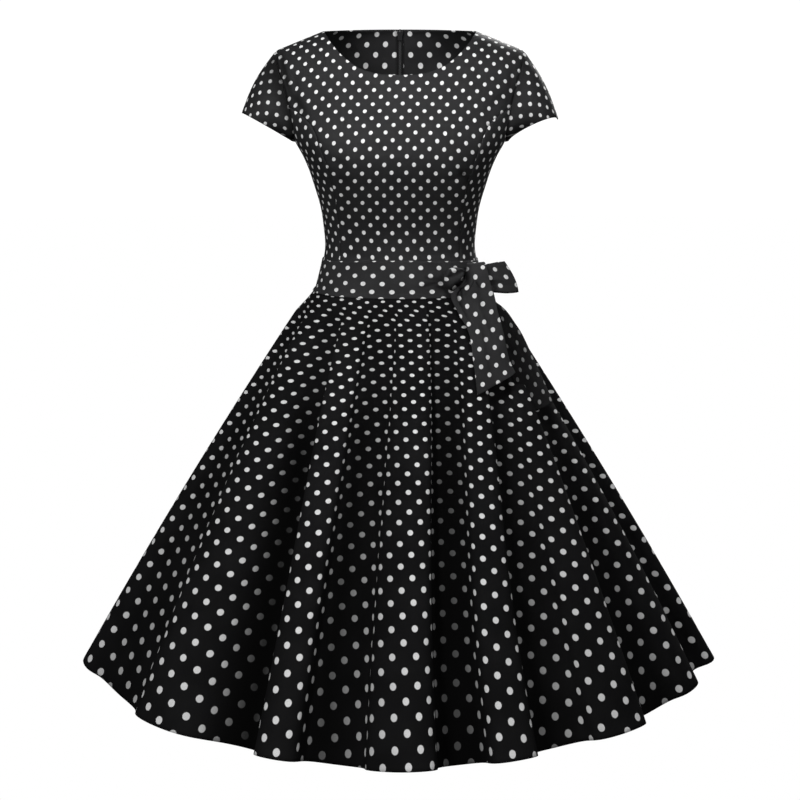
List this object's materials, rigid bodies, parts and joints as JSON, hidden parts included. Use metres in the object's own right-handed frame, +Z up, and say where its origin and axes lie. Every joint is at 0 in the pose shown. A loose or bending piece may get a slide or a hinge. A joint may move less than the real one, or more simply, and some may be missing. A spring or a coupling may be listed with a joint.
{
  "type": "a-line dress",
  "caption": "Knee-length dress with a wide round neck, cap sleeves, a fitted bodice, a full folded skirt, a sash tied in a bow and a zip down the back.",
  "frame": {"origin": "midway between the two points where the neckline meets the shoulder seams, where the wearer's shoulders hold the dress", "axes": "+Z up, -Y to the front, +X to the wearer's left, which is the side of the bow"},
  "size_m": [0.986, 0.9369, 0.9772],
  "materials": {
    "cloth": "matt black cotton printed with small round white dots",
    "zip_tape": "black woven tape",
    "zip_metal": "black enamel"
  },
  "bodies": {
    "dress": {"front_centre": "cloth", "front_side_left": "cloth", "front_side_right": "cloth", "back_left": "cloth", "back_right": "cloth", "sleeve_left": "cloth", "sleeve_right": "cloth", "skirt_front": "cloth", "skirt_back_left": "cloth", "skirt_back_right": "cloth", "sash": "cloth", "bow_knot": "cloth", "bow_loop_outer": "cloth", "bow_loop_inner": "cloth", "bow_tail_front": "cloth", "bow_tail_back": "cloth", "zip_tape_left": "zip_tape", "zip_tape_right": "zip_tape", "zip_slider": "zip_metal"},
    "pull_tab": {"zip_pull_tab": "zip_metal"}
  },
  "joints": [
    {"name": "pull_tab_hinge", "type": "hinge", "parent": "dress", "child": "pull_tab", "pos_m": [0, 0.0888, -0.00396], "axis": [1, 0, 0], "range_deg": [0, 150]}
  ]
}
